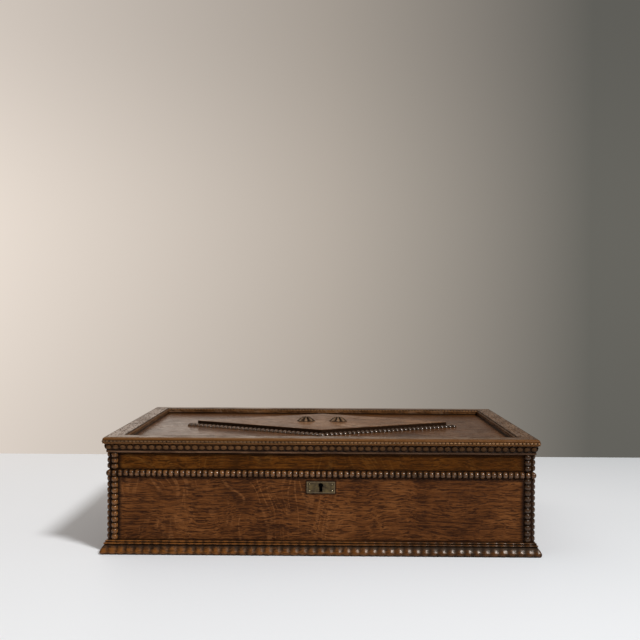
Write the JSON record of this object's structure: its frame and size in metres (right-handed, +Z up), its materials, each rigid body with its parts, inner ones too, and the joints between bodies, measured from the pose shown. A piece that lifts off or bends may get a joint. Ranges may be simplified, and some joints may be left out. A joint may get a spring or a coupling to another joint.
{
  "type": "stationery box",
  "caption": "Rectangular oak box for papers with a hinged frame-and-panel lid, a raised lozenge, split bobbin mouldings, a moulded plinth and a small box lock.",
  "frame": {"origin": "on the ground, under the middle of the box", "axes": "+X right along the long side, -Y towards the front with the lock, +Z up"},
  "size_m": [0.4798, 0.3588, 0.1334],
  "materials": {
    "oak_board": "waxed quarter-sawn oak",
    "oak_moulding": "waxed oak, darkened",
    "brass": "aged, dull",
    "steel": "dark, lightly oiled"
  },
  "bodies": {
    "base": {"back_board": "oak_board", "base_bobbins_front_left": "oak_moulding", "base_bobbins_front_right": "oak_moulding", "base_bobbins_left_back": "oak_moulding", "base_bobbins_left_front": "oak_moulding", "base_bobbins_right_back": "oak_moulding", "base_bobbins_right_front": "oak_moulding", "bobbin_rail_front": "oak_moulding", "bobbin_rail_left": "oak_moulding", "bobbin_rail_right": "oak_moulding", "bottom_board": "oak_board", "drill_pin": "steel", "escutcheon": "brass", "front_board": "oak_board", "hinge_leaf_base_left": "brass", "hinge_leaf_base_right": "brass", "hinge_pin_left": "steel", "hinge_pin_right": "steel", "left_board": "oak_board", "lock_cap": "steel", "lock_plate": "brass", "plinth_back": "oak_moulding", "plinth_front": "oak_moulding", "plinth_left": "oak_moulding", "plinth_right": "oak_moulding", "right_board": "oak_board"},
    "bolt": {"lock_bolt": "steel"},
    "lid": {"boss_left": "oak_moulding", "boss_right": "oak_moulding", "cornice_back": "oak_moulding", "cornice_front": "oak_moulding", "cornice_left": "oak_moulding", "cornice_right": "oak_moulding", "hinge_leaf_lid_left": "brass", "hinge_leaf_lid_right": "brass", "lid_bobbins_front_left": "oak_moulding", "lid_bobbins_front_right": "oak_moulding", "lid_bobbins_left_back": "oak_moulding", "lid_bobbins_left_front": "oak_moulding", "lid_bobbins_right_back": "oak_moulding", "lid_bobbins_right_front": "oak_moulding", "lid_frame_back": "oak_board", "lid_frame_front": "oak_board", "lid_frame_left": "oak_board", "lid_frame_right": "oak_board", "lid_frieze_back": "oak_board", "lid_frieze_front": "oak_board", "lid_frieze_left": "oak_board", "lid_frieze_right": "oak_board", "lid_panel": "oak_board", "link_plate": "brass", "lozenge": "oak_board", "lozenge_bobbins_back_left": "oak_moulding", "lozenge_bobbins_back_right": "oak_moulding", "lozenge_bobbins_front_left": "oak_moulding", "lozenge_bobbins_front_right": "oak_moulding", "staple_left": "brass", "staple_right": "brass"}
  },
  "joints": [
    {"name": "lid_hinge", "type": "hinge", "parent": "base", "child": "lid", "pos_m": [0, 0.1728, 0.0916], "axis": [-1, 0, 0], "range_deg": [0, 100]},
    {"name": "bolt_slide", "type": "slide", "parent": "base", "child": "bolt", "axis": [1, 0, 0], "range_m": [0, 0.005]}
  ]
}
